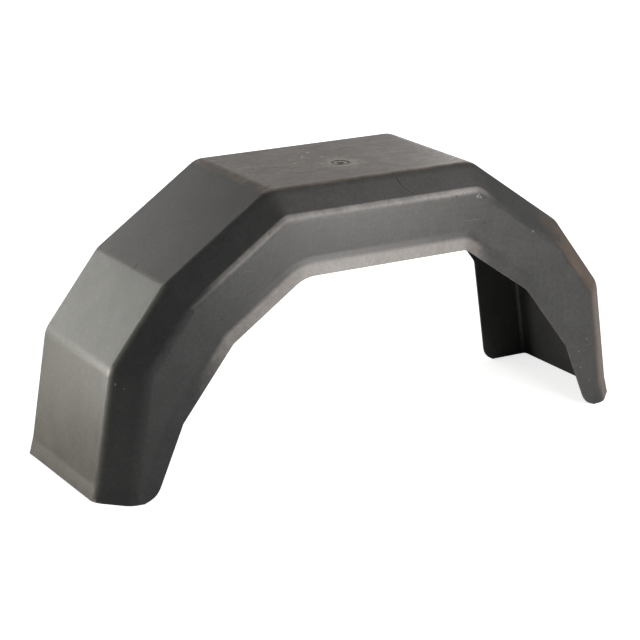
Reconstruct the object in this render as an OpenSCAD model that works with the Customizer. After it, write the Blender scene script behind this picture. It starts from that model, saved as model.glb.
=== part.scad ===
// Trailer mudguard: one thin moulded shell that arches over a wheel and stands on its two feet.
// X runs along the guard, -Y is the outboard side, +Y the side towards the trailer, Z is up.
// The origin is on the floor, at the middle of the guard.

/* [Overall] */
// Length over the two flared feet
length = 770; // [740:1:820]
// Width from the inboard wall to the flared lip of the skirt
width = 222; // [200:1:250]
// Height from the floor to the top panel
height = 348; // [335:1:370]
// Thickness of the moulding
wall = 3; // [2:0.1:4]

/* [Tread panels] */
// How far each end panel leans in on its way up to the knee
end_run = 25; // [10:1:40]
// Length along X of the lower slope
lower_run = 73; // [60:1:85]
// Height of the lower slope
lower_drop = 94; // [85:1:105]
// Length along X of the upper slope
upper_run = 138.7; // [125:0.1:155]
// Height of the upper slope
upper_drop = 95.5; // [80:0.1:105]
// Radius of the creases between the tread panels
crease_r = 32; // [12:1:45]

/* [Chamfer] */
// Width along Y of the chamfer between the tread and the outboard skirt
chamfer_w = 32.6; // [24:0.1:40]
// Depth of the chamfer under the top panel
chamfer_drop = 30.1; // [24:0.1:36]
// Depth of the chamfer under the upper slopes
chamfer_drop_upper = 28.9; // [24:0.1:36]
// Depth of the chamfer under the lower slopes
chamfer_drop_lower = 27.2; // [22:0.1:36]
// Depth of the chamfer inside the end panels
chamfer_drop_end = 33; // [26:0.1:40]
// Radius of the edge between the tread and the chamfer, at the top panel
tread_edge_r = 9; // [5:0.5:16]
// Radius of the same edge at the end panels
tread_edge_r_end = 23; // [9:0.5:26]
// Radius of the ridge between the chamfer and the skirt, at the top panel
ridge_r = 12; // [6:0.5:18]
// Radius of the ridge at the end panels
ridge_r_end = 21; // [9:0.5:24]
// Radius of the ridge's corners, seen from the side
ridge_crease_r = 18; // [6:1:30]

/* [Outboard skirt] */
// Depth of the skirt's edge under the top panel
skirt_top = 102.5; // [90:0.5:115]
// Depth of the skirt's edge under the two slopes
skirt_slope = 100.8; // [90:0.5:115]
// Lean of the skirt's edge beside the end panels, in degrees from upright
edge_lean = 22.8; // [15:0.1:28]
// Width of the skirt at the floor, before its corner is rounded
skirt_foot = 28.7; // [24:0.1:36]
// Radius of the skirt's rounded corner at the floor
skirt_corner_r = 28; // [15:1:32]
// Radius of the corners of the skirt's edge
edge_crease_r = 16; // [6:1:30]
// Radius of the one wide corner of the skirt's edge, at the -X end of the top
edge_wide_r = 48; // [16:1:60]

/* [Flared lip] */
// Width of the flared lip along the skirt's edge
lip_w = 21; // [15:0.5:30]
// How far the lip stands proud at its free edge
lip_flare = 4.2; // [2:0.1:6]
// Half the width of the soft crease where the lip turns out
lip_blend = 4; // [1:0.5:6]
// Height of the flared band round each foot
foot_band = 22; // [12:1:30]
// How far the foot bands stand proud on the floor
foot_flare = 2.2; // [1:0.1:4]
// Radius of the outer corner of the lip's free edge
rim_r = 1.4; // [0.6:0.1:1.8]

/* [Inboard wall] */
// Depth of the wall's edge inside the end panels
wall_depth_end = 69.5; // [55:0.5:80]
// Depth of the wall's edge under the slopes and the top panel
wall_depth = 60; // [45:0.5:75]
// Outer radius between the tread and the inboard wall
wall_edge_r = 4; // [2:0.5:8]
// Inner radius between the tread and the inboard wall, where the moulding is thicker
wall_inner_r = 5; // [3.5:0.5:16]
// Radius of the wall's rounded corner at the floor
wall_corner_r = 22; // [10:1:35]
// Radius of the corners of the wall's edge
wall_crease_r = 14; // [5:1:30]

/* [Moulding gate] */
// Diameter of the shallow ring round the gate
gate_d = 24; // [16:1:32]
// Depth of the ring
gate_depth = 0.8; // [0.4:0.1:1.2]
// Width of the ring's groove
gate_groove = 3; // [1.5:0.1:5]
// Diameter of the broken stub in the middle
stub_d = 8; // [4:0.5:12]
// Height of the stub where it stands highest
stub_h = 1.2; // [0.6:0.1:2.5]
// Slope of the stub's torn top, in degrees
stub_slope = 12; // [0:1:20]

/* [Smoothness] */
// Steps round each crease between panels
crease_steps = 6; // [4:1:10]
// Steps round the ridge, the tread edge and the wall edge
edge_steps = 5; // [4:1:9]

/* [Hidden] */
plastic_colour = [0.22, 0.22, 0.21];
rim_steps = 3;
slack = 2;
bite = 0.05;
round_fn = 96;

// Corners of the tread on the +X half, each as [x, z], from the floor up.
knee_z = height - upper_drop - lower_drop;
end_norm = norm([end_run, knee_z]);
foot_x = length / 2 - foot_flare * end_norm / knee_z;
foot = [foot_x, 0];
knee = [foot_x - end_run, knee_z];
shoulder = knee + [-lower_run, lower_drop];
crown = shoulder + [-upper_run, upper_drop];

// A line is [outward normal, distance from the origin]; a panel's line runs up from a to b.
function panel_line(a, b) =
    let (d = (b - a) / norm(b - a), n = [d.y, -d.x])
    [n, n * a];
function meet(p, q) =
    let (cross_pq = p[0].x * q[0].y - p[0].y * q[0].x)
    [p[1] * q[0].y - q[1] * p[0].y, p[0].x * q[1] - q[0].x * p[1]] / cross_pq;
function moved_in(line, depth) = [line[0], line[1] - depth];

end_line = panel_line(foot, knee);
lower_line = panel_line(knee, shoulder);
upper_line = panel_line(shoulder, crown);
top_line = [[0, 1], height];
floor_line = [[0, 1], 0];
band_line = [[0, 1], foot_band];

// The four lines of a rail at these depths under the tread: end, lower slope, upper slope, top.
tread_lines = [end_line, lower_line, upper_line, top_line];
chamfer_drops = [chamfer_drop_end, chamfer_drop_lower, chamfer_drop_upper, chamfer_drop];
wall_depths = [wall_depth_end, wall_depth, wall_depth, wall_depth];
function lines_at(depths) = [for (k = [0:3]) moved_in(tread_lines[k], depths[k])];

// Outboard side in section: y to the left, depth under the tread downwards.
lip_lean = lip_flare / norm([lip_flare, lip_w]);
skirt_y = -width / 2 + lip_flare - rim_r * lip_lean;
tread_y = skirt_y + chamfer_w;
wall_y = width / 2;
chamfer_in = [chamfer_drop, chamfer_w] / norm([chamfer_drop, chamfer_w]);
tread_in = [0, 1];
skirt_in = [1, 0];
// How far a corner between two faces moves when both faces move in by 1.
function mitre(n1, n2) = (n1 + n2) / (1 + n1 * n2);
tread_mitre = mitre(tread_in, chamfer_in);
ridge_mitre = mitre(chamfer_in, skirt_in);

// Edge of the skirt: parallel to the slopes, and leaning out to the floor beside the end panels.
ridge_foot = meet(moved_in(end_line, chamfer_drop_end), floor_line);
edge_foot = ridge_foot - [skirt_foot, 0];
edge_normal = [cos(edge_lean), sin(edge_lean)];
edge_lines = [
    [edge_normal, edge_normal * edge_foot],
    moved_in(lower_line, skirt_slope),
    moved_in(upper_line, skirt_slope),
    moved_in(top_line, skirt_top)
];
lip_lines = [for (line = edge_lines) moved_in(line, -lip_w)];
wall_lines = lines_at(wall_depths);
wall_foot = meet(wall_lines[0], floor_line);

// Points of an arc of radius r that rounds corner b of the path a, b, c.
function rounded(a, b, c, r, steps) =
    let (
        u = (a - b) / norm(a - b),
        v = (c - b) / norm(c - b),
        half = acos(max(-1, min(1, u * v))) / 2,
        centre = b + (u + v) / norm(u + v) * r / sin(half),
        start = b + u * r / tan(half) - centre,
        turn = (u.x * v.y - u.y * v.x > 0 ? -1 : 1) * (180 - 2 * half)
    )
    [for (k = [0:steps])
        let (a_k = turn * k / steps)
        centre + [start.x * cos(a_k) - start.y * sin(a_k), start.x * sin(a_k) + start.y * cos(a_k)]];

// A rail follows four lines over one half of the guard: floor, band, then the three rounded corners.
function half_rail(lines, r, crown_r, band_point = false) =
    let (
        on_floor = meet(lines[0], floor_line),
        on_band = meet(lines[0], band_line),
        at_knee = meet(lines[0], lines[1]),
        at_shoulder = meet(lines[1], lines[2]),
        at_crown = meet(lines[2], lines[3]),
        middle = [0, at_crown.y]
    )
    concat(
        [band_point ? [on_band.x, 0] : on_floor, on_band],
        rounded(on_band, at_knee, at_shoulder, r, crease_steps),
        rounded(at_knee, at_shoulder, at_crown, r, crease_steps),
        rounded(at_shoulder, at_crown, middle, crown_r, crease_steps)
    );

// The rails of one skin, inset from the outer face: wall edge, tread, ridge, lip crease, lip edge.
function rails(inset, edge_r) =
    let (
        tread_r = crease_r - inset,
        corner_r = ridge_crease_r - inset,
        lip_r = edge_crease_r + lip_w
    )
    [
        half_rail(wall_lines, wall_crease_r, wall_crease_r),
        half_rail(lines_at([inset, inset, inset, inset]), tread_r, tread_r),
        half_rail(lines_at([for (drop = chamfer_drops) drop + inset * ridge_mitre.y]), corner_r, corner_r),
        half_rail(lip_lines, lip_r, edge_r + lip_w, true),
        half_rail(edge_lines, edge_crease_r, edge_r)
    ];

// Where a depth lies between the rails: 0 wall edge, 1 tread, 2 ridge, 3 lip crease, 4 lip edge.
lip_depth = skirt_slope - lip_w;
function on_wall(depth, inset) = 1 - (depth - inset) / (wall_depth - inset);
function on_skirt(depth, inset) =
    let (ridge_depth = chamfer_drop + inset * ridge_mitre.y)
    depth < ridge_depth
        ? 1 + (depth - inset) / (ridge_depth - inset)
        : 2 + (depth - ridge_depth) / (lip_depth - ridge_depth);

// How far a station of the tread rail is on its way from the top panel, 0, to the end panels, 1.
function towards_end(z) = pow(max(0, min(1, (height - z) / (height - knee_z))), 2);
function lerp(a, b, t) = a + (b - a) * t;

// One skin in section, from the wall's edge to the lip's edge, as [y, place between the rails].
function section(inset, lip_out, wall_inset, t) =
    let (
        edge_r = lerp(tread_edge_r, tread_edge_r_end, t) - inset,
        fold_r = lerp(ridge_r, ridge_r_end, t) - inset,
        wall_top = [wall_y - wall_inset, inset],
        corner_r = wall_inset == 0 ? wall_edge_r : wall_inner_r,
        tread_edge = [tread_y, 0] + inset * tread_mitre,
        ridge = [skirt_y, chamfer_drop] + inset * ridge_mitre,
        wall_low = [wall_top.x, wall_depth],
        skirt_low = [ridge.x, lip_depth]
    )
    concat(
        [[wall_top.x, 0]],
        [for (p = rounded(wall_low, wall_top, tread_edge, corner_r, edge_steps))
            [p.x, on_wall(p.y, inset)]],
        [for (p = rounded(wall_top, tread_edge, ridge, edge_r, edge_steps))
            [p.x, on_skirt(p.y, inset)]],
        [for (p = rounded(tread_edge, ridge, skirt_low, fold_r, edge_steps))
            [p.x, on_skirt(p.y, inset)]],
        [
            [ridge.x, 3 - lip_blend / (lip_depth - chamfer_drop)],
            [ridge.x - lip_out * lip_blend / lip_w / 4, 3],
            [ridge.x - lip_out * lip_blend / lip_w, 3 + lip_blend / lip_w],
            [ridge.x - lip_out, 4]
        ]
    );

function between(skin_rails, station, place) =
    let (k = min(floor(place), len(skin_rails) - 2))
    lerp(skin_rails[k][station], skin_rails[k + 1][station], place - k);
function skin_row(skin_rails, skin_section, station) =
    [for (s = skin_section)
        let (p = between(skin_rails, station, s.y))
        [p.x, s.x, p.y]];

// The free edge of the lip, rounded at its outer corner: from the outer skin's end towards the inner's.
function rim(from, along, across) =
    [for (k = [0:rim_steps])
        let (a = 90 * k / rim_steps)
        from + along * rim_r * (sin(a) - 1) + across * rim_r * (1 - cos(a))];

function closed_row(outer, inner) =
    let (
        last = len(outer) - 1,
        along = (outer[last] - outer[last - 1]) / norm(outer[last] - outer[last - 1]),
        across = (inner[last] - outer[last]) / norm(inner[last] - outer[last])
    )
    concat(
        [for (k = [0:last - 1]) outer[k]],
        rim(outer[last], along, across),
        [for (k = [last:-1:0]) inner[k]]
    );

// Rows of the shell over one half. The row on the floor is pushed out by the foot's flare.
function half_rows(edge_r) =
    let (
        floor_rise = lip_flare - foot_flare,
        rails_out = rails(0, edge_r),
        rails_in = rails(wall, edge_r),
        floor_out = skin_row(rails(-foot_flare, edge_r), section(-foot_flare, floor_rise, 0, 1), 0),
        floor_in = skin_row(rails(wall - foot_flare, edge_r), section(wall - foot_flare, floor_rise, wall, 1), 0)
    )
    concat(
        [closed_row(floor_out, floor_in)],
        [for (i = [1:len(rails_out[0]) - 1])
            let (t = towards_end(rails_out[1][i].y))
            closed_row(
                skin_row(rails_out, section(0, lip_flare, 0, t), i),
                skin_row(rails_in, section(wall, lip_flare, wall, t), i)
            )]
    );
function mirrored(row) = [for (p = row) [-p.x, p.y, p.z]];
plain_half = half_rows(edge_crease_r);
wide_half = half_rows(edge_wide_r);
rows = concat(plain_half, [for (i = [len(wide_half) - 1:-1:0]) mirrored(wide_half[i])]);

// Triangles of a foot's end face: a strip between the skins, then a fan round the rim.
function end_face(first, n, skin) = concat(
    [for (j = [0:skin - 2])
        each [
            [first + j, first + n - 1 - j, first + j + 1],
            [first + j + 1, first + n - 1 - j, first + n - 2 - j]
        ]],
    [for (j = [skin - 1:skin + rim_steps - 1])
        [first + j, first + n - skin, first + j + 1]]
);
function flipped(faces) = [for (f = faces) [f[2], f[1], f[0]]];

module shell() {
    n = len(rows[0]);
    skin = len(section(0, 0, 0, 0));
    last = len(rows) - 1;
    middle = len(plain_half) - 1;
    sides = [for (i = [0:last - 1]) for (j = [0:n - 1])
        let (
            a = i * n + j,
            b = i * n + (j + 1) % n,
            c = (i + 1) * n + (j + 1) % n,
            d = (i + 1) * n + j
        )
        each (i <= middle ? [[a, b, d], [b, c, d]] : [[a, c, d], [a, b, c]])];
    polyhedron(
        points = [for (row = rows) each row],
        faces = concat(sides, end_face(0, n, skin), flipped(end_face(last * n, n, skin)))
    );
}

// Cuts a foot's corner at p to radius r, where the edge rises at lean degrees from upright.
module corner_cut(p, lean, r, y0, y1) {
    half = (90 + lean) / 2;
    reach = r / tan(half);
    on_floor = p + [reach, 0];
    on_edge = p + reach * [-sin(lean), cos(lean)];
    centre = p + [(r - bite) / tan(half), r - bite];
    translate([0, y1, 0])
        rotate([90, 0, 0])
            linear_extrude(y1 - y0)
                difference() {
                    polygon([
                        centre,
                        on_edge,
                        on_edge - slack * [cos(lean), 0],
                        p - [2 * slack, slack],
                        [on_floor.x, -slack]
                    ]);
                    translate(centre)
                        circle(r = r, $fn = round_fn);
                }
}

// Shallow ring and torn stub that the moulding gate leaves in the middle of the top panel.
module gate_ring() {
    translate([0, 0, height - gate_depth])
        difference() {
            cylinder(d = gate_d, h = gate_depth + slack, $fn = round_fn);
            translate([0, 0, -slack])
                cylinder(d = gate_d - 2 * gate_groove, h = gate_depth + 3 * slack, $fn = round_fn);
        }
}

module gate_stub() {
    intersection() {
        translate([0, 0, height - wall / 2])
            cylinder(d = stub_d, h = wall / 2 + stub_h, $fn = round_fn);
        translate([0, 0, height + stub_h])
            rotate([0, stub_slope, 0])
                translate([-stub_d, -stub_d, -2 * wall])
                    cube([2 * stub_d, 2 * stub_d, 2 * wall - stub_d / 2 * sin(stub_slope)]);
    }
}

module foot_corners() {
    corner_cut(edge_foot, edge_lean, skirt_corner_r, -width / 2 - slack, skirt_y + 2 * wall);
    corner_cut(wall_foot, atan(end_run / knee_z), wall_corner_r, wall_y - 2 * wall, wall_y + slack);
}

module mudguard() {
    color(plastic_colour)
        union() {
            difference() {
                shell();
                foot_corners();
                mirror([1, 0, 0])
                    foot_corners();
                gate_ring();
            }
            gate_stub();
        }
}

mudguard();
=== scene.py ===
import bpy
import bmesh
import math
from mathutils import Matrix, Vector


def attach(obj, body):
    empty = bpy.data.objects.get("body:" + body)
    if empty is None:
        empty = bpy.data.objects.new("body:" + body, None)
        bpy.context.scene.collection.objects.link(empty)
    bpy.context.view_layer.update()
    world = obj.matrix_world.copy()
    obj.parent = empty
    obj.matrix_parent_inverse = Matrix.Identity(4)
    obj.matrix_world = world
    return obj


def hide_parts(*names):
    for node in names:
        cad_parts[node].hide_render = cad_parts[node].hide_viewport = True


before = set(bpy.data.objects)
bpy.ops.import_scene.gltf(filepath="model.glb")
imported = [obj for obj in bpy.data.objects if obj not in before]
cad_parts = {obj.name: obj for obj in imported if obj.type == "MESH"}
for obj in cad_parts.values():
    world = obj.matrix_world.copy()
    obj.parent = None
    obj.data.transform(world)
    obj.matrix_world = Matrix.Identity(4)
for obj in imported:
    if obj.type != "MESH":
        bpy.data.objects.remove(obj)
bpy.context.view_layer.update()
print("frame loaded")


def deselectAll():
    for item in bpy.context.selected_objects:
        item.select_set(False)


def makeActive(item):
    deselectAll()
    item.select_set(True)
    bpy.context.view_layer.objects.active = item


# ---- camera: stands where the photograph was taken from ----
cameraAt = {
    "location": (-1.3359, -2.1331, 0.9606),
    "turn": (71.9781, -0.3718, -31.3898),
    "lens": 116.82,
    "sensor": 36,
    "clip": (0.05, 50),
}
bpy.ops.object.camera_add(
    location=cameraAt["location"],
    rotation=[math.radians(a) for a in cameraAt["turn"]],
)
camera = bpy.context.object
camera.name = "photoCamera"
camera.data.lens = cameraAt["lens"]
camera.data.sensor_width = cameraAt["sensor"]
camera.data.clip_start, camera.data.clip_end = cameraAt["clip"]
bpy.context.scene.camera = camera
print("camera placed")

# ---- mudguard: one moulded skin, from a flat grid whose lines become the moulding's own ----
shape = {  # metres and degrees
    "length": 0.770, "height": 0.348, "wallY": 0.111, "skirtY": -0.10705, "chamferWide": 0.0326,
    "endRun": 0.025, "lowerRun": 0.073, "lowerDrop": 0.094, "upperRun": 0.1387, "upperDrop": 0.0955,
    "bandHigh": 0.022, "footFlare": 0.0022,
    "chamferDeep": (0.033, 0.0272, 0.0289, 0.0301),  # end, lower slope, upper slope, top
    "wallDeep": (0.0695, 0.06, 0.06, 0.06),
    "edgeDeep": (0.1008, 0.1008, 0.1025),  # lower slope, upper slope, top
    "edgeLean": 22.8, "skirtFoot": 0.0287,
    "lipWide": 0.021, "lipFlare": 0.0039, "lipBlend": 0.004,
    "creaseRadius": {"edge": 0.016, "lip": 0.037, "ridge": 0.018, "tread": 0.032, "wall": 0.014},
    "wideEdgeRadius": 0.048,  # the one wide corner, at the top panel's -X end
    "treadRadius": (0.009, 0.023), "ridgeRadius": (0.012, 0.021),  # at the top panel, at the knees
    "treadHalfTurn": 0.39, "ridgeHalfTurn": 0.44,  # tangents of half the turn at each fold
    "foldWide": 0.012,  # the folds' bevel at full weight
    "skirtCorner": 0.028, "wallCorner": 0.022,
    "skirtCornerStart": 0.183,  # radians, where the foot's corner leaves the lip's line
    "thick": 0.003, "wallOuterRadius": 0.004, "wallInnerRadius": 0.005, "rimRadius": 0.0008,
    "footSteps": 6, "creaseSteps": 7, "foldSteps": 6, "wallSteps": 4, "rimSteps": 2,
    "gateWide": 0.024, "gateDeep": 0.0008, "gateGroove": 0.003, "gateSteps": 48,
    "stubWide": 0.008, "stubHigh": 0.0006, "stubSlope": 7,
    "flatBelow": 0.0012, "mergeBelow": 0.00001, "near": 0.0001,
    "sharpAngle": 50, "smoothAngle": 34, "normalWeight": 60,
    "heart": (0, 0, 0.05),  # a point inside the arch, which inner faces look at
    "upward": 0.9, "rimSideways": 0.6, "rimReach": 0.001, "rimFaceArea": 0.001,
}


def lineThrough(a, b):  # a line of the side view, as its outward normal and its distance
    run = (b - a).normalized()
    normal = Vector((run.y, -run.x))
    return normal, normal.dot(a)


def levelLine(height):
    return Vector((0, 1)), height


def crossing(first, second):  # the point where two lines meet
    (n, d), (m, e) = first, second
    return Vector((d * m.y - e * n.y, n.x * e - m.x * d)) / (n.x * m.y - n.y * m.x)


def sunk(lines, depths):  # each line moved inwards by its depth
    return [(n, d - deep) for (n, d), deep in zip(lines, depths)]


def shifted(line, by):
    return line[0], line[1] + by


def cornerArc(first, second, radius, steps):  # the points of a rounded corner between two lines
    centre = crossing(shifted(first, -radius), shifted(second, -radius))
    start, end = (math.atan2(n.y, n.x) for n in (first[0], second[0]))
    angles = [start + (end - start) * k / steps for k in range(steps + 1)]
    return [centre + radius * Vector((math.cos(a), math.sin(a))) for a in angles]


def footArc(line, radius, start, steps):  # from the floor up to the line, round the foot's corner
    centre = crossing(shifted(line, radius), levelLine(radius))
    end = math.pi / 2 - math.atan2(line[0].y, line[0].x)
    angles = [start + (end - start) * k / steps for k in range(steps + 1)]
    return [centre - radius * Vector((math.sin(a), math.cos(a))) for a in angles]


kneeZ = shape["height"] - shape["upperDrop"] - shape["lowerDrop"]
flareRun = shape["footFlare"] * math.hypot(shape["endRun"], kneeZ) / kneeZ
foot = Vector((shape["length"] / 2 - flareRun, 0))
knee = Vector((foot.x - shape["endRun"], kneeZ))
shoulder = knee + Vector((-shape["lowerRun"], shape["lowerDrop"]))
crown = shoulder + Vector((-shape["upperRun"], shape["upperDrop"]))
treadLines = [lineThrough(foot, knee), lineThrough(knee, shoulder), lineThrough(shoulder, crown)]
treadLines.append(levelLine(shape["height"]))
ridgeLines = sunk(treadLines, shape["chamferDeep"])
wallLines = sunk(treadLines, shape["wallDeep"])
bandLine = levelLine(shape["bandHigh"])
lean = math.radians(shape["edgeLean"])
leaning = Vector((math.cos(lean), math.sin(lean)))
edgeFoot = crossing(ridgeLines[0], levelLine(0)) - Vector((shape["skirtFoot"], 0))
edgeLines = [(leaning, leaning.dot(edgeFoot))] + sunk(treadLines[1:], shape["edgeDeep"])
lipLines = sunk(edgeLines, [-shape["lipWide"]] * len(edgeLines))
lipFootX = crossing(lipLines[0], bandLine).x
treadY = shape["skirtY"] + shape["chamferWide"]
radii = shape["creaseRadius"]
# the skin's rails, from the lip's edge to the wall's
lipEdge, lipFold, ridge, treadEdge, wallTop, wallEdge = range(6)
# each rail's lines, its y, its crease radius, and the shares of the foot's flare outwards and sideways
rails = [
    (edgeLines, shape["skirtY"] - shape["lipFlare"], radii["edge"], 0, 0),
    (lipLines, shape["skirtY"], radii["lip"], 0, 1),
    (ridgeLines, shape["skirtY"], radii["ridge"], shape["ridgeHalfTurn"], 1),
    (treadLines, treadY, radii["tread"], 1, shape["treadHalfTurn"]),
    (treadLines, shape["wallY"], radii["tread"], 1, 0),
    (wallLines, shape["wallY"], radii["wall"], 0, 0),
]
skirtArc = footArc(edgeLines[0], shape["skirtCorner"], shape["skirtCornerStart"], shape["footSteps"])
wallArc = footArc(wallLines[0], shape["wallCorner"], 0, shape["footSteps"])


def footPoint(rail, step):  # a point below the foot band, as x, y, z
    lines, y, _, outwards, sideways = rails[rail]
    if rail == wallEdge:
        return wallArc[step].x, y, wallArc[step].y
    up = skirtArc[step].y if step or rail <= lipFold else 0
    flare = shape["footFlare"] * (1 - up / shape["bandHigh"])
    lipY = shape["skirtY"] - flare
    if rail == lipEdge and step:
        edgeX = crossing(lines[0], levelLine(up)).x
        across = (lipFootX - skirtArc[step].x) / (lipFootX - edgeX)
        return skirtArc[step].x, lipY + (y - lipY) * across, up
    if rail <= lipFold:
        return lipFootX, lipY, up
    flared = crossing(shifted(lines[0], outwards * flare), levelLine(up))
    return flared.x, y - sideways * flare, up


def railPath(rail, wide):  # one half of a rail, from the floor to the top panel
    lines, y, radius, _, _ = rails[rail]
    crownRadius = radius
    if wide and rail <= lipFold:
        crownRadius += shape["wideEdgeRadius"] - radii["edge"]
    path = [footPoint(rail, step) for step in range(shape["footSteps"] + 1)]
    upper = [crossing(lines[0], bandLine)]
    for lower, cornerRadius in ((0, radius), (1, radius), (2, crownRadius)):
        upper += cornerArc(lines[lower], lines[lower + 1], cornerRadius, shape["creaseSteps"])
    return path + [(p.x, y, p.y) for p in upper]


def bevelled(item, name, width, steps, weights=None):  # rounds each edge by its share of the width
    mesh = item.data
    if weights is not None:
        layer = mesh.attributes.new("bevel_weight_edge", "FLOAT", "EDGE")
        layer.data.foreach_set("value", weights)
    rounding = item.modifiers.new(name, "BEVEL")
    rounding.limit_method = "WEIGHT" if weights is not None else "ANGLE"
    rounding.angle_limit = math.radians(shape["sharpAngle"])
    rounding.offset_type = "OFFSET"
    rounding.width = width
    rounding.segments = steps
    rounding.use_clamp_overlap = False
    makeActive(item)
    bpy.ops.object.modifier_apply(modifier=name)
    if weights is not None:
        mesh.attributes.remove(mesh.attributes["bevel_weight_edge"])


halves = [[railPath(rail, wide) for rail in range(len(rails))] for wide in (True, False)]
halfCount = len(halves[0][0])
lastColumn, lastRail = 2 * halfCount - 1, len(rails) - 1
deselectAll()
bpy.ops.mesh.primitive_grid_add(
    x_subdivisions=lastColumn, y_subdivisions=lastRail, size=1, location=(0, 0, 0))
guard = bpy.context.object
guard.name = guard.data.name = "mudguardSkin"
bpy.ops.object.mode_set(mode="EDIT")
bpy.ops.mesh.select_mode(type="VERT")
cage = bmesh.from_edit_mesh(guard.data)
railOf = {}  # by the point's index: its rail, its station on it and its place
for vertex in cage.verts:
    column = round((vertex.co.x + 0.5) * lastColumn)
    rail = round((vertex.co.y + 0.5) * lastRail)
    side, station, half = (-1, column, 0) if column < halfCount else (1, lastColumn - column, 1)
    x, y, z = halves[half][rail][station]
    railOf[vertex.index] = (rail, station, Vector((side * x, y, z)))
for index, (rail, station, target) in railOf.items():  # each point is moved to its place
    bpy.ops.mesh.select_all(action="DESELECT")
    cage = bmesh.from_edit_mesh(guard.data)
    cage.verts.ensure_lookup_table()
    cage.verts[index].select_set(True)
    bpy.ops.transform.translate(value=target - cage.verts[index].co)
bpy.ops.mesh.select_all(action="SELECT")
bpy.ops.mesh.normals_make_consistent(inside=False)
bpy.ops.object.mode_set(mode="OBJECT")
if max(guard.data.polygons, key=lambda face: face.area).normal.z < 0:
    bpy.ops.object.mode_set(mode="EDIT")
    bpy.ops.mesh.flip_normals()
    bpy.ops.object.mode_set(mode="OBJECT")
print("mudguard cage placed")

# folds of the lip, the ridge and the tread's edge, wider towards the ends
mesh = guard.data
weights = []
wallFold = mesh.attributes.new("wallFold", "FLOAT", "EDGE")
for edge in mesh.edges:
    (rail, station, place), (otherRail, otherStation, otherPlace) = (railOf[k] for k in edge.vertices)
    fold = 0
    if rail == otherRail:
        height = (place.z + otherPlace.z) / 2
        towardsEnd = max(0, min(1, (shape["height"] - height) / (shape["height"] - kneeZ))) ** 2
        if rail == lipFold:
            fold = shape["lipBlend"] * min(1, min(station, otherStation) / shape["footSteps"])
        elif rail in (ridge, treadEdge):
            name = "ridge" if rail == ridge else "tread"
            first, last = shape[name + "Radius"]
            fold = (first + (last - first) * towardsEnd) * shape[name + "HalfTurn"]
        elif rail == wallTop:
            wallFold.data[edge.index].value = 1
    weights.append(fold / shape["foldWide"])
bevelled(guard, "folds", shape["foldWide"], shape["foldSteps"], weights)
print("mudguard folded")

bpy.ops.object.mode_set(mode="EDIT")
bpy.ops.mesh.select_all(action="SELECT")
bpy.ops.mesh.remove_doubles(threshold=shape["mergeBelow"])
bpy.ops.object.mode_set(mode="OBJECT")
wall = guard.modifiers.new("wall", "SOLIDIFY")
wall.thickness = shape["thick"]
wall.offset = -1
wall.use_even_offset = True
wall.use_quality_normals = True
bpy.ops.object.modifier_apply(modifier="wall")
mesh = guard.data


def pickOnly(mesh, points=(), faces=()):  # selects these alone, by their indices
    for part in (*mesh.vertices, *mesh.edges, *mesh.polygons):
        part.select = False
    for index in points:
        mesh.vertices[index].select = True
    for index in faces:
        mesh.polygons[index].select = True


def flattenFeet(mesh, below):  # the foot rims lie flat on the floor
    pickOnly(mesh, points=[v.index for v in mesh.vertices if v.co.z < below])
    bpy.ops.object.mode_set(mode="EDIT")
    bpy.ops.mesh.select_mode(type="VERT")
    bpy.ops.transform.resize(value=(1, 1, 0), center_override=(0, 0, 0))
    bpy.ops.object.mode_set(mode="OBJECT")


flattenFeet(mesh, shape["flatBelow"])
# the fold between tread and wall, rounded apart on the outer and the inner side
marks = [mark.value for mark in mesh.attributes["wallFold"].data]
weights = []
for edge, marked in zip(mesh.edges, marks):
    ends = [mesh.vertices[k].co.y for k in edge.vertices]
    onOuter = min(ends) > shape["wallY"] - shape["thick"] / 2
    radius = shape["wallOuterRadius"] if onOuter else shape["wallInnerRadius"]
    alongWall = abs(ends[0] - ends[1]) < shape["near"]
    weights.append(radius / shape["wallInnerRadius"] if marked > 0.5 and alongWall else 0)
bevelled(guard, "wallCorner", shape["wallInnerRadius"], shape["wallSteps"], weights)
mesh.attributes.remove(mesh.attributes["wallFold"])
bevelled(guard, "rim", shape["rimRadius"], shape["rimSteps"])
flattenFeet(mesh, 0)
print("mudguard walled")

# the moulding gate: a shallow ring round a broken stub, drawn out of the top panel
def extruded(up=0, size=1):  # carries the selected loop on, straight up or towards the middle
    bpy.ops.mesh.extrude_region_move(TRANSFORM_OT_translate={"value": (0, 0, up)})
    bpy.ops.transform.resize(value=(size, size, 1), center_override=(0, 0, shape["height"]))


def pickOpenEdges(loose):  # the edges of one face alone, and those of none where loose is true
    bpy.ops.mesh.select_non_manifold(
        extend=False, use_wire=loose, use_boundary=True, use_multi_face=False,
        use_non_contiguous=False, use_verts=False)


def topArea(face):  # the face's area, where it lies in the top panel's plane
    isTop = face.normal.z > shape["upward"] and face.center.z > shape["height"] - shape["near"]
    return face.area if isTop else 0


topFace = max(mesh.polygons, key=topArea)
pickOnly(mesh, faces=[topFace.index])
outerRing = shape["gateWide"] / 2
innerRing, stubRing = outerRing - shape["gateGroove"], shape["stubWide"] / 2
bpy.ops.object.mode_set(mode="EDIT")
bpy.ops.mesh.select_mode(type="FACE")
bpy.ops.mesh.delete(type="ONLY_FACE")
bpy.ops.mesh.select_mode(type="EDGE")
bpy.ops.mesh.primitive_circle_add(
    vertices=shape["gateSteps"], radius=outerRing, fill_type="NOTHING",
    location=(0, 0, shape["height"]))
pickOpenEdges(loose=True)
bpy.ops.mesh.fill(use_beauty=True)
filled = bmesh.from_edit_mesh(mesh)
if any(face.select and face.normal.z < 0 for face in filled.faces):
    bpy.ops.mesh.flip_normals()
pickOpenEdges(loose=False)
extruded(up=-shape["gateDeep"])
extruded(size=innerRing / outerRing)
extruded(up=shape["gateDeep"])
extruded(size=stubRing / innerRing)
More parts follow.
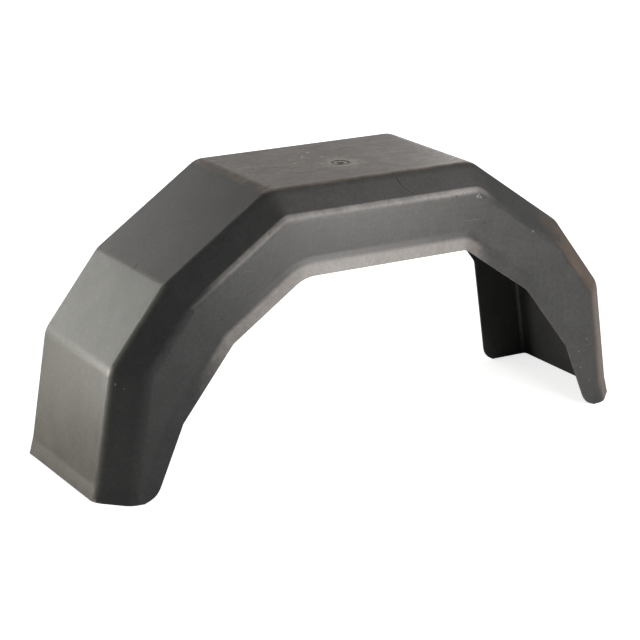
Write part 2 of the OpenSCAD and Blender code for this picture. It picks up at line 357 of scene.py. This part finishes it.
extruded(up=shape["stubHigh"])
bpy.ops.transform.rotate(
    value=math.radians(shape["stubSlope"]), orient_axis="Y",
    center_override=(0, 0, shape["height"] + shape["stubHigh"]))
bpy.ops.mesh.edge_face_add()
bpy.ops.object.mode_set(mode="OBJECT")
print("mudguard gate made")

bpy.ops.object.shade_smooth_by_angle(angle=math.radians(shape["smoothAngle"]))
weighted = guard.modifiers.new("evenShading", "WEIGHTED_NORMAL")
weighted.keep_sharp = True
weighted.weight = shape["normalWeight"]
bpy.ops.object.modifier_apply(modifier=weighted.name)
# each face is marked as outer, inner or the skirt's rim, so that weathering and painted light keep to
# their side
marking = guard.data.attributes.new("shellSide", "FLOAT", "FACE")
for face, mark in zip(guard.data.polygons, marking.data):
    isOuter = face.normal.dot(face.center - Vector(shape["heart"])) > 0
    isRim = (abs(face.normal.y) < shape["rimSideways"] and face.area < shape["rimFaceArea"]
             and face.center.y < shape["skirtY"] + shape["rimReach"])
    mark.value = 1 if isOuter else 0.5 if isRim else 0
print("mudguard made")

# ---- plastic: black moulding, faded on top, with the marks of use and with painted light and shade ----
look = {
    "blackColour": (0.050, 0.050, 0.049, 1),
    "paintedShadeAndSmearColour": (0.036, 0.037, 0.037, 1),  # painted shade on the skirt and chamfer of the -X end and on the tread's rounded edge; also the smears' colour
    # painted light: the skirt and chamfer lighter near the top
    "topSkirtLightColour": (0.056, 0.053, 0.050, 1),
    "topChamferLightColour": (0.064, 0.061, 0.060, 1),
    "slopeColour": (0.055, 0.055, 0.052, 1),
    "dustColour": (0.088, 0.087, 0.073, 1),
    "endDustColour": (0.086, 0.080, 0.064, 1),
    "fadedColour": (0.128, 0.103, 0.084, 1),
    "fadedPaleColour": (0.300, 0.246, 0.200, 1),
    "wornEdgeColour": (0.330, 0.290, 0.262, 1),
    # paler wear with a painted highlight on the ridge; a painted highlight on the lip
    "ridgeWearAndHighlightColour": (0.270, 0.254, 0.242, 1),
    "lipHighlightColour": (0.275, 0.253, 0.236, 1),
    "tanColour": (0.150, 0.106, 0.074, 1),
    "rimPaleAndHighlightColour": (0.150, 0.118, 0.108, 1),
    "paleMarkColour": (0.640, 0.570, 0.500, 1),
    "darkMarkAndShadeColour": (0.012, 0.012, 0.012, 1),
    "roughness": (0.30, 0.40), "scratchRoughness": 0.08,
    "slowTone": 0.10, "grainTone": 0.26, "fineTone": 0.12,
    "wander": 0.06, "wanderOfDust": 0.35, "wanderOfTop": 0.07, "crackWander": 0.0006,
    "palerInPatches": 0.52, "palerInStreaks": 0.30,
    "haloPlace": (0.004, -0.001, 0.348),
    "bumpStrength": 0.6, "grainDepth": 0.00020, "dip": 0.8, "scratchDip": 0.3,
    "spotRagged": 0.0022, "spotCore": 0.8, "spotReach": 1.5,
}
paleSpots = [  # x, y, z and radius, in metres
    (-0.1057, 0.0277, 0.348, 0.0011), (-0.0519, 0.0236, 0.348, 0.0014),
    (-0.0265, 0.0486, 0.348, 0.0018), (-0.1316, 0.0011, 0.348, 0.0012),
    (-0.0237, 0.0134, 0.348, 0.0010), (-0.0248, 0.0062, 0.348, 0.0009),
    (-0.0224, 0.0043, 0.348, 0.0013), (-0.0024, 0.0391, 0.348, 0.0015),
    (0.0091, 0.0251, 0.348, 0.0012), (-0.0241, -0.0121, 0.348, 0.0011),
    (-0.0183, -0.0149, 0.348, 0.0010), (-0.0080, 0.0660, 0.348, 0.0019),
    (-0.0450, 0.0120, 0.348, 0.0009), (-0.0350, 0.0300, 0.348, 0.0008),
    (0.0290, -0.0080, 0.348, 0.0010),
]
faintSpots = [
    (0.1340, -0.1070, 0.3110, 0.0016), (0.1385, -0.1070, 0.3095, 0.0013),
    (0.1362, -0.1066, 0.3130, 0.0010), (0.2225, -0.1070, 0.2540, 0.0012),
    (0.3333, -0.1027, 0.1273, 0.0010), (0.3185, -0.1071, 0.0939, 0.0009),
    (0.3044, -0.1082, 0.0790, 0.0008), (0.3081, -0.1092, 0.0563, 0.0008),
    (0.3247, -0.1078, 0.0354, 0.0009), (-0.3822, -0.0745, 0.0016, 0.0016),
    (-0.3800, -0.0785, 0.0008, 0.0012), (-0.3784, -0.0815, 0.0006, 0.0014),
    (-0.3550, -0.0800, 0.1440, 0.0012), (-0.3480, -0.0880, 0.1400, 0.0010),
]
darkSpotsAndGateShade = [
    (0.1023, -0.1068, 0.3151, 0.0012), (0.1459, -0.1071, 0.2761, 0.0014),
    (-0.2829, 0.0063, 0.2537, 0.0030), (0.3386, -0.1066, 0.0586, 0.0012),
    # these two: painted shade beside the gate's stub
    (-0.0028, -0.0030, 0.3485, 0.0034), (0.0012, -0.0052, 0.3485, 0.0022),
]
hairlinePoints = [  # the crack on the top chamfer
    (0.0275, -0.0743, 0.3475), (0.0300, -0.0790, 0.3438),
    (0.0306, -0.0830, 0.3402), (0.0314, -0.0861, 0.3373),
    (0.0330, -0.0912, 0.3325), (0.0362, -0.0940, 0.3299),
    (0.0400, -0.0972, 0.3270), (0.0438, -0.1005, 0.3240),
]
strokePoints = [(-0.3445, -0.1073, 0.0191), (-0.3454, -0.1086, 0.0071)]


def socketed(name, inputs, outputs):  # a new node group with its sockets and its two end nodes
    tree = bpy.data.node_groups.new(name, "ShaderNodeTree")
    for title, kind in inputs:
        tree.interface.new_socket(name=title, in_out="INPUT", socket_type=kind)
    for title, kind in outputs:
        tree.interface.new_socket(name=title, in_out="OUTPUT", socket_type=kind)
    return tree, tree.nodes.new("NodeGroupInput"), tree.nodes.new("NodeGroupOutput")


def vectorStep(tree, operation, first, second=None):
    step = tree.nodes.new("ShaderNodeVectorMath")
    step.operation = operation
    for socket, value in zip(step.inputs, (first, second)):
        if isinstance(value, bpy.types.NodeSocket):
            tree.links.new(value, socket)
        elif value is not None:
            socket.default_value = value
    givesValue = operation in ("DOT_PRODUCT", "LENGTH", "DISTANCE")
    return step.outputs["Value" if givesValue else "Vector"]


def scaled(tree, vector, factor):
    step = tree.nodes.new("ShaderNodeVectorMath")
    step.operation = "SCALE"
    tree.links.new(vector, step.inputs[0])
    tree.links.new(factor, step.inputs["Scale"])
    return step.outputs["Vector"]


def mathStep(tree, operation, first, second=None, clamp=False):
    step = tree.nodes.new("ShaderNodeMath")
    step.operation = operation
    step.use_clamp = clamp
    for socket, value in zip(step.inputs, (first, second)):
        if isinstance(value, bpy.types.NodeSocket):
            tree.links.new(value, socket)
        elif value is not None:
            socket.default_value = value
    return step.outputs[0]


def ramp(tree, value, low, high, start=0, end=1):  # a smooth change between two values
    step = tree.nodes.new("ShaderNodeMapRange")
    step.interpolation_type = "SMOOTHSTEP"
    tree.links.new(value, step.inputs["Value"])
    step.inputs["From Min"].default_value = low
    step.inputs["From Max"].default_value = high
    step.inputs["To Min"].default_value = start
    step.inputs["To Max"].default_value = end
    return step.outputs["Result"]


def band(tree, value, low, high, soft):  # one between low and high, fading over soft
    return mathStep(tree, "MULTIPLY", ramp(tree, value, low - soft, low + soft),
                    ramp(tree, value, high - soft, high + soft, 1, 0))


def times(tree, *masks):
    result = masks[0]
    for mask in masks[1:]:
        result = mathStep(tree, "MULTIPLY", result, mask)
    return result


def noiseOn(tree, place, stretch, scale=1, detail=3, rough=0.55, turn=(0, 0, 0)):
    mapping = tree.nodes.new("ShaderNodeMapping")
    mapping.inputs["Scale"].default_value = stretch
    mapping.inputs["Rotation"].default_value = [math.radians(a) for a in turn]
    tree.links.new(place, mapping.inputs["Vector"])
    noise = tree.nodes.new("ShaderNodeTexNoise")
    noise.inputs["Scale"].default_value = scale
    noise.inputs["Detail"].default_value = detail
    noise.inputs["Roughness"].default_value = rough
    tree.links.new(mapping.outputs["Vector"], noise.inputs["Vector"])
    return noise.outputs["Fac"]


def tinted(tree, under, over, mask):  # over laid on under where the mask is one
    mix = tree.nodes.new("ShaderNodeMix")
    mix.data_type = "RGBA"
    tree.links.new(mask, mix.inputs["Factor"])
    colours = [s for s in mix.inputs if s.type == "RGBA"]
    for socket, value in zip(colours, (under, over)):
        if isinstance(value, bpy.types.NodeSocket):
            tree.links.new(value, socket)
        else:
            socket.default_value = value
    return [s for s in mix.outputs if s.type == "RGBA"][0]


# distance from a straight stroke between two points
strokeTree, strokeIn, strokeOut = socketed(
    "strokeDistance",
    [("Place", "NodeSocketVector"), ("Start", "NodeSocketVector"), ("End", "NodeSocketVector")],
    [("Distance", "NodeSocketFloat")])
fromStart = vectorStep(strokeTree, "SUBTRACT", strokeIn.outputs["Place"], strokeIn.outputs["Start"])
along = vectorStep(strokeTree, "SUBTRACT", strokeIn.outputs["End"], strokeIn.outputs["Start"])
share = mathStep(strokeTree, "DIVIDE", vectorStep(strokeTree, "DOT_PRODUCT", fromStart, along),
                 vectorStep(strokeTree, "DOT_PRODUCT", along, along), clamp=True)
gap = vectorStep(strokeTree, "DISTANCE", fromStart, scaled(strokeTree, along, share))
strokeTree.links.new(gap, strokeOut.inputs["Distance"])


def strokeAway(tree, place, points):  # distance from the line through the points
    nearest = None
    for start, end in zip(points, points[1:]):
        stroke = tree.nodes.new("ShaderNodeGroup")
        stroke.node_tree = strokeTree
        stroke.inputs["Start"].default_value = start
        stroke.inputs["End"].default_value = end
        tree.links.new(place, stroke.inputs["Place"])
        distance = stroke.outputs["Distance"]
        nearest = distance if nearest is None else mathStep(tree, "MINIMUM", nearest, distance)
    return nearest


def spotMask(tree, place, spots):  # one on each spot, whose edge is ragged
    ragged = swing(tree, noiseOn(tree, place, *noises["ragged"]), look["spotRagged"])
    mask = None
    for x, y, z, radius in spots:
        distance = mathStep(tree, "ADD", vectorStep(tree, "DISTANCE", place, (x, y, z)), ragged)
        spot = ramp(tree, distance, radius * look["spotCore"], radius * look["spotReach"], 1, 0)
        mask = spot if mask is None else mathStep(tree, "MAXIMUM", mask, spot)
    return mask


# where parts, stains and painted light and shade begin and end, in metres or as marks of shellSide; a
# band's softness comes third
zones = {
    "treadY": (-0.0775, -0.0735),
    "sideY": (-0.0790, -0.0750),
    "skirtY": (-0.1068, -0.1062),
    "chamferY": (-0.1055, -0.0765, 0.0012),
    "wallY": (0.1050, 0.1085),
    "topZ": (0.3425, 0.3472),
    "dustWide": (0.272, 0.300),
    "endDustWide": (0.350, 0.370),
    "topChamferX": (-0.14, 0.15, 0.02),
    "lowSideX": (-0.28, -0.11),
    "topSkirtX": (-0.1, 0.1, 0.04),
    "tanX": (0.23, 0.30),
    "paintedShadeEdgeY": (-0.0805, -0.0735, 0.0022),
    "paintedShadeEdgeX": (0.16, 0.20),
    "wornWide": (0.128, 0.143, 0.008),
    "wornZ": (0.3455, 0.3470),
    "ridgeY": (-0.1062, -0.1018, 0.0010),
    "ridgeStartX": (-0.27, -0.19),
    "ridgeEndX": (0.12, 0.17),
    "lipY": (-0.1088, -0.1075),
    "lipStartX": (-0.265, -0.205),
    "lipEndX": (0.10, 0.17),
    "rimX": (0.0, 0.14),
    "smearX": (-0.02, 0.20, 0.04),
    "halo": (0.011, 0.034),
    "crack": (0.0006, 0.0013),
    "crackEdge": (0.0014, 0.0024),
    "stroke": (0.0008, 0.0020),
    "outerMark": (0.6, 0.9),
    "rimMark": (0.3, 0.7, 0.1),
}
noises = {  # stretch, scale, detail, roughness and turn
    "wander": ((1, 1, 1), 24, 4),
    "mottle": ((1, 1.5, 1), 26, 5, 0.62),
    "patches": ((1, 1.7, 1), 44, 6, 0.72),
    "fineMottle": ((1, 1, 1), 170, 4, 0.6),
    "grain": ((1, 1, 1), 950, 2, 0.5),
    "streak": ((9, 110, 110), 1, 4, 0.6),
    "hairs": ((16, 900, 900), 1, 2, 0.5, (8, 25, 12)),
    "smear": ((55, 1, 6), 1, 3, 0.6),
    "ragged": ((1, 1, 1), 420, 2),
}
cuts = {  # from which to which value of its noise a mask rises, and its lowest and highest value
    "scratches": (0.70, 0.80),
    "tan": (0.3, 0.62, 0.5, 1),
    "patches": (0.36, 0.70),
    "streak": (0.46, 0.76),
    "wornFine": (0.46, 0.66),
    "wornSlow": (0.42, 0.60),
    "ridge": (0.3, 0.7, 0.7, 1),
    "rim": (0.3, 0.6, 0.5, 1),
    "smear": (0.56, 0.74),
    "halo": (0.36, 0.60),
    "gloss": (0.2, 0.8),
    "tone": (0.25, 0.75),
}
coverage = {  # how strongly each layer covers what lies under it
    "tan": 0.8, "paintedShadeEdge": 0.6, "worn": 0.7, "lip": 0.85, "smear": 0.45, "scratches": 0.10,
    "halo": 0.42, "paleSpots": 0.8, "faintSpots": 0.25, "darkSpotsAndGateShade": 0.85,
    "crackEdge": 0.07, "crack": 0.95, "stroke": 0.6,
}


def swing(tree, value, size):  # a noise's value, moved to lie round nought
    return mathStep(tree, "MULTIPLY", mathStep(tree, "SUBTRACT", value, 0.5), size)


def laid(tree, under, name, mask, strength=1):  # a colour of the look, laid on under
    return tinted(tree, under, look[name], mathStep(tree, "MULTIPLY", mask, strength))


plastic = bpy.data.materials.new("blackPlastic")
plastic.use_nodes = True
tree = plastic.node_tree
shader = tree.nodes["Principled BSDF"]
shader.inputs["Roughness"].default_value = sum(look["roughness"]) / 2  # where nodes aren't followed
place = tree.nodes.new("ShaderNodeTexCoord").outputs["Object"]
axes = tree.nodes.new("ShaderNodeSeparateXYZ")
tree.links.new(place, axes.inputs[0])
x, y, z = axes.outputs
wide = mathStep(tree, "ABSOLUTE", x)
# wander moves the borders of stains, so that none runs straight
wander = swing(tree, noiseOn(tree, place, *noises["wander"]), look["wander"])
wanderX = mathStep(tree, "ADD", x, wander)
wanderWide = mathStep(tree, "ADD", wide, mathStep(tree, "MULTIPLY", wander, look["wanderOfDust"]))
wanderZ = mathStep(tree, "ADD", z, mathStep(tree, "MULTIPLY", wander, look["wanderOfTop"]))
mottle = noiseOn(tree, place, *noises["mottle"])
patches = noiseOn(tree, place, *noises["patches"])
fineMottle = noiseOn(tree, place, *noises["fineMottle"])
grain = noiseOn(tree, place, *noises["grain"])
streak = noiseOn(tree, place, *noises["streak"])
scratches = ramp(tree, noiseOn(tree, place, *noises["hairs"]), *cuts["scratches"])
# parts of the moulding, each by its place on it
sideMark = tree.nodes.new("ShaderNodeAttribute")
sideMark.attribute_name = "shellSide"
onOuter = ramp(tree, sideMark.outputs["Fac"], *zones["outerMark"])
onRim = band(tree, sideMark.outputs["Fac"], *zones["rimMark"])
outside = times(tree, onOuter, ramp(tree, y, *zones["wallY"], 1, 0))
onTread = times(tree, ramp(tree, y, *zones["treadY"]), outside)
onTop = times(tree, onTread, ramp(tree, wanderZ, *zones["topZ"]))
onSide = ramp(tree, y, *zones["sideY"], 1, 0)
onSkirt = ramp(tree, y, *zones["skirtY"], 1, 0)
onChamfer = band(tree, y, *zones["chamferY"])
# dust, a tan tint, and painted light and shade: the chamfer and skirt lighter near the top and darker at
# the -X end
colour = tinted(tree, look["blackColour"], look["slopeColour"], onTread)
dust = times(tree, onTread, ramp(tree, wanderWide, *zones["dustWide"]))
colour = laid(tree, colour, "dustColour", dust)
endDust = times(tree, onTread, ramp(tree, wanderWide, *zones["endDustWide"]))
colour = laid(tree, colour, "endDustColour", endDust)
# painted light: the chamfer lighter over the top panel
topChamfer = times(tree, onChamfer, band(tree, wanderX, *zones["topChamferX"]))
colour = laid(tree, colour, "topChamferLightColour", topChamfer)
# painted shade: the skirt and chamfer darker towards the -X end
lowSide = times(tree, onSide, ramp(tree, wanderX, *zones["lowSideX"], 1, 0))
colour = laid(tree, colour, "paintedShadeAndSmearColour", lowSide)
# painted light: the skirt lighter near the top
topSkirt = times(tree, onSkirt, band(tree, wanderX, *zones["topSkirtX"]))
colour = laid(tree, colour, "topSkirtLightColour", topSkirt)
# a tan tint in patches on the chamfer towards the +X end
tanTint = times(tree, outside, onChamfer, ramp(tree, wanderX, *zones["tanX"]),
                 ramp(tree, mottle, *cuts["tan"]))
colour = laid(tree, colour, "tanColour", tanTint, coverage["tan"])
# painted shade on the rounded edge beside the tread, except towards the +X end
paintedShadeEdge = times(tree, band(tree, y, *zones["paintedShadeEdgeY"]), ramp(tree, x, *zones["paintedShadeEdgeX"], 1, 0))
colour = laid(tree, colour, "paintedShadeAndSmearColour", paintedShadeEdge, coverage["paintedShadeEdge"])
# the top panel, faded brown in patches and in streaks along it
inPatches = mathStep(tree, "MULTIPLY", ramp(tree, patches, *cuts["patches"]), look["palerInPatches"])
inStreaks = mathStep(tree, "MULTIPLY", ramp(tree, streak, *cuts["streak"]), look["palerInStreaks"])
paler = mathStep(tree, "ADD", inPatches, inStreaks, clamp=True)
colour = tinted(tree, colour, laid(tree, look["fadedColour"], "fadedPaleColour", paler), onTop)
worn = times(tree, onTread, band(tree, wide, *zones["wornWide"]), ramp(tree, z, *zones["wornZ"]),
             ramp(tree, fineMottle, *cuts["wornFine"]), ramp(tree, mottle, *cuts["wornSlow"]))
colour = laid(tree, colour, "wornEdgeColour", worn, coverage["worn"])
# the ridge, rubbed paler and with a painted highlight, and the lip with a painted highlight, along the
# top and the -X slope
ridgeWearAndHighlight = times(tree, outside, band(tree, y, *zones["ridgeY"]),
                 ramp(tree, wanderX, *zones["ridgeStartX"]), ramp(tree, x, *zones["ridgeEndX"], 1, 0),
                 ramp(tree, mottle, *cuts["ridge"]))
colour = laid(tree, colour, "ridgeWearAndHighlightColour", ridgeWearAndHighlight)
lipHighlight = times(tree, outside, ramp(tree, y, *zones["lipY"], 1, 0),
               ramp(tree, wanderX, *zones["lipStartX"]), ramp(tree, wanderX, *zones["lipEndX"], 1, 0))
colour = laid(tree, colour, "lipHighlightColour", lipHighlight, coverage["lip"])
# the skirt's rim paler, as a trimmed edge, with a painted highlight along it
paleRimAndHighlight = times(tree, onRim, ramp(tree, x, *zones["rimX"]), ramp(tree, mottle, *cuts["rim"]))
colour = laid(tree, colour, "rimPaleAndHighlightColour", paleRimAndHighlight)
# vertical smears on the skirt, and hair scratches all over
smear = times(tree, onSkirt, band(tree, x, *zones["smearX"]),
              ramp(tree, noiseOn(tree, place, *noises["smear"]), *cuts["smear"]))
colour = laid(tree, colour, "paintedShadeAndSmearColour", smear, coverage["smear"])
colour = laid(tree, colour, "paleMarkColour", scratches, coverage["scratches"])
# the moulding gate's pale halo
gateAway = vectorStep(tree, "DISTANCE", place, look["haloPlace"])
halo = times(tree, outside, ramp(tree, gateAway, *zones["halo"], 1, 0),
             ramp(tree, fineMottle, *cuts["halo"]))
colour = laid(tree, colour, "paleMarkColour", halo, coverage["halo"])
# single marks, and painted shade beside the gate's stub
colour = laid(tree, colour, "paleMarkColour", spotMask(tree, place, paleSpots), coverage["paleSpots"])
colour = laid(tree, colour, "paleMarkColour", spotMask(tree, place, faintSpots), coverage["faintSpots"])
colour = laid(tree, colour, "darkMarkAndShadeColour", spotMask(tree, place, darkSpotsAndGateShade), coverage["darkSpotsAndGateShade"])
crackAway = strokeAway(tree, place, hairlinePoints)
crackAway = mathStep(tree, "ADD", crackAway, swing(tree, fineMottle, look["crackWander"]))
crackEdge = ramp(tree, crackAway, *zones["crackEdge"], 1, 0)
colour = laid(tree, colour, "paleMarkColour", crackEdge, coverage["crackEdge"])
crack = ramp(tree, crackAway, *zones["crack"], 1, 0)
colour = laid(tree, colour, "darkMarkAndShadeColour", crack, coverage["crack"])
stroke = ramp(tree, strokeAway(tree, place, strokePoints), *zones["stroke"], 1, 0)
colour = laid(tree, colour, "darkMarkAndShadeColour", stroke, coverage["stroke"])
# slow and fine changes of tone over the whole moulding
slowTone, grainTone, fineTone = look["slowTone"], look["grainTone"], look["fineTone"]
tone = mathStep(tree, "ADD", ramp(tree, mottle, *cuts["tone"], 1 - slowTone, 1 + slowTone),
                ramp(tree, grain, *cuts["tone"], -grainTone, grainTone))
tone = mathStep(tree, "ADD", tone, ramp(tree, fineMottle, *cuts["tone"], -fineTone, fineTone))
tree.links.new(scaled(tree, colour, tone), shader.inputs["Base Color"])
# roughness, a little higher on scratches
smooth, rough = look["roughness"]
gloss = mathStep(tree, "ADD", ramp(tree, mottle, *cuts["gloss"], smooth, rough),
                 mathStep(tree, "MULTIPLY", scratches, look["scratchRoughness"]))
tree.links.new(gloss, shader.inputs["Roughness"])
# pebbled grain, with the scratches and the crack sunk into it
dips = mathStep(tree, "ADD", crack, mathStep(tree, "MULTIPLY", scratches, look["scratchDip"]))
bump = tree.nodes.new("ShaderNodeBump")
bump.inputs["Strength"].default_value = look["bumpStrength"]
bump.inputs["Distance"].default_value = look["grainDepth"]
relief = mathStep(tree, "ADD", grain, mathStep(tree, "MULTIPLY", dips, -look["dip"]))
tree.links.new(relief, bump.inputs["Height"])
tree.links.new(bump.outputs["Normal"], shader.inputs["Normal"])
guard.data.materials.clear()
guard.data.materials.append(plastic)
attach(guard, "root")
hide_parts("mudguard")
print("plastic made")

# ---- studio ----
studio = {
    "floorSize": 12,
    "floorColour": (0.8, 0.8, 0.8, 1),
    "white": (0.76, 1.0),  # the floor's own white beside the guard, where its shadow falls, and far off
    "reach": (0.45, 1.3),
    "worldGlossy": 0.213,
    "worldDiffuse": 0.15,
}
bpy.ops.mesh.primitive_plane_add(size=studio["floorSize"], location=(0, 0, 0))
floor = bpy.context.object
floor.name = "studioFloor"
paint = bpy.data.materials.new("studioFloor")
paint.use_nodes = True
tree = paint.node_tree
tree.nodes.clear()
floorOut = tree.nodes.new("ShaderNodeOutputMaterial")
matt = tree.nodes.new("ShaderNodeBsdfDiffuse")
matt.inputs["Color"].default_value = studio["floorColour"]
glow = tree.nodes.new("ShaderNodeEmission")
rays = tree.nodes.new("ShaderNodeLightPath")
floorPlace = tree.nodes.new("ShaderNodeTexCoord").outputs["Object"]
away = vectorStep(tree, "LENGTH", floorPlace)
white = ramp(tree, away, *studio["reach"], *studio["white"])
seen = mathStep(tree, "MULTIPLY", white, rays.outputs["Is Camera Ray"])
tree.links.new(seen, glow.inputs["Strength"])
joined = tree.nodes.new("ShaderNodeAddShader")
tree.links.new(matt.outputs[0], joined.inputs[0])
tree.links.new(glow.outputs[0], joined.inputs[1])
tree.links.new(joined.outputs[0], floorOut.inputs["Surface"])
floor.data.materials.append(paint)

world = bpy.data.worlds.new("studioWorld")
bpy.context.scene.world = world
world.use_nodes = True
tree = world.node_tree
air = tree.nodes["Background"]
rays = tree.nodes.new("ShaderNodeLightPath")
level = mathStep(tree, "MULTIPLY", rays.outputs["Is Glossy Ray"], studio["worldGlossy"])
diffuse = mathStep(tree, "MULTIPLY", rays.outputs["Is Diffuse Ray"], studio["worldDiffuse"])
level = mathStep(tree, "ADD", level, diffuse)
tree.links.new(mathStep(tree, "ADD", level, rays.outputs["Is Camera Ray"]), air.inputs["Strength"])
air.inputs["Color"].default_value = (1, 1, 1, 1)

# each lamp: place, point it faces, width, height, power, colour
lamps = {
    "leftLow": ((-1.04, 0.60, 0.20), (-0.3, 0, 0.15), 0.35, 0.35, 6.1, (1, 0.98, 0.91)),
    "frontHigh": ((1.20, -1.20, 1.90), (0, 0, 0.2), 1, 1, 6.7, (1, 1, 1)),
    "backRight": ((1.20, 2.08, 0.70), (0, 0, 0.2), 1, 0.9, 1.6, (1, 1, 1)),
    "back": ((0, 2.40, 0.70), (0, 0, 0.2), 1, 0.9, 12.9, (1, 0.975, 0.945)),
    "backLeft": ((-1.20, 2.08, 0.70), (0, 0, 0.2), 1, 0.9, 10.8, (1, 1, 0.96)),
    "skirtLow": ((0.26, -0.70, 0.22), (0.05, -0.1, 0.28), 0.3, 0.16, 1.6, (1, 0.975, 0.95)),
    "skirtHigh": ((0.39, -1.08, 0.50), (0.05, 0, 0.25), 0.35, 0.35, 1.2, (1, 1, 1)),
    "right": ((1.15, 0.96, 0.80), (0.3, 0, 0.15), 0.5, 0.5, 1.8, (1, 0.97, 0.94)),
    "ridgeFront": ((0, -1.76, 0.96), (0, -0.1, 0.28), 0.5, 0.25, 4.5, (1, 0.975, 0.95)),
    "ridgeRight": ((0.88, -1.53, 0.96), (0, -0.1, 0.28), 0.5, 0.25, 7.2, (1, 0.98, 0.96)),
}
for name, (at, aim, across, tall, power, tint) in lamps.items():
    bpy.ops.object.light_add(type="AREA", location=at)
    lamp = bpy.context.object
    lamp.name = name
    lamp.rotation_euler = (Vector(aim) - Vector(at)).to_track_quat("-Z", "Y").to_euler()
    lamp.data.shape = "RECTANGLE"
    lamp.data.size = across
    lamp.data.size_y = tall
    lamp.data.energy = power
    lamp.data.color = tint
    lamp.visible_camera = False
bpy.context.scene.view_settings.view_transform = "Standard"
print("studio lit")
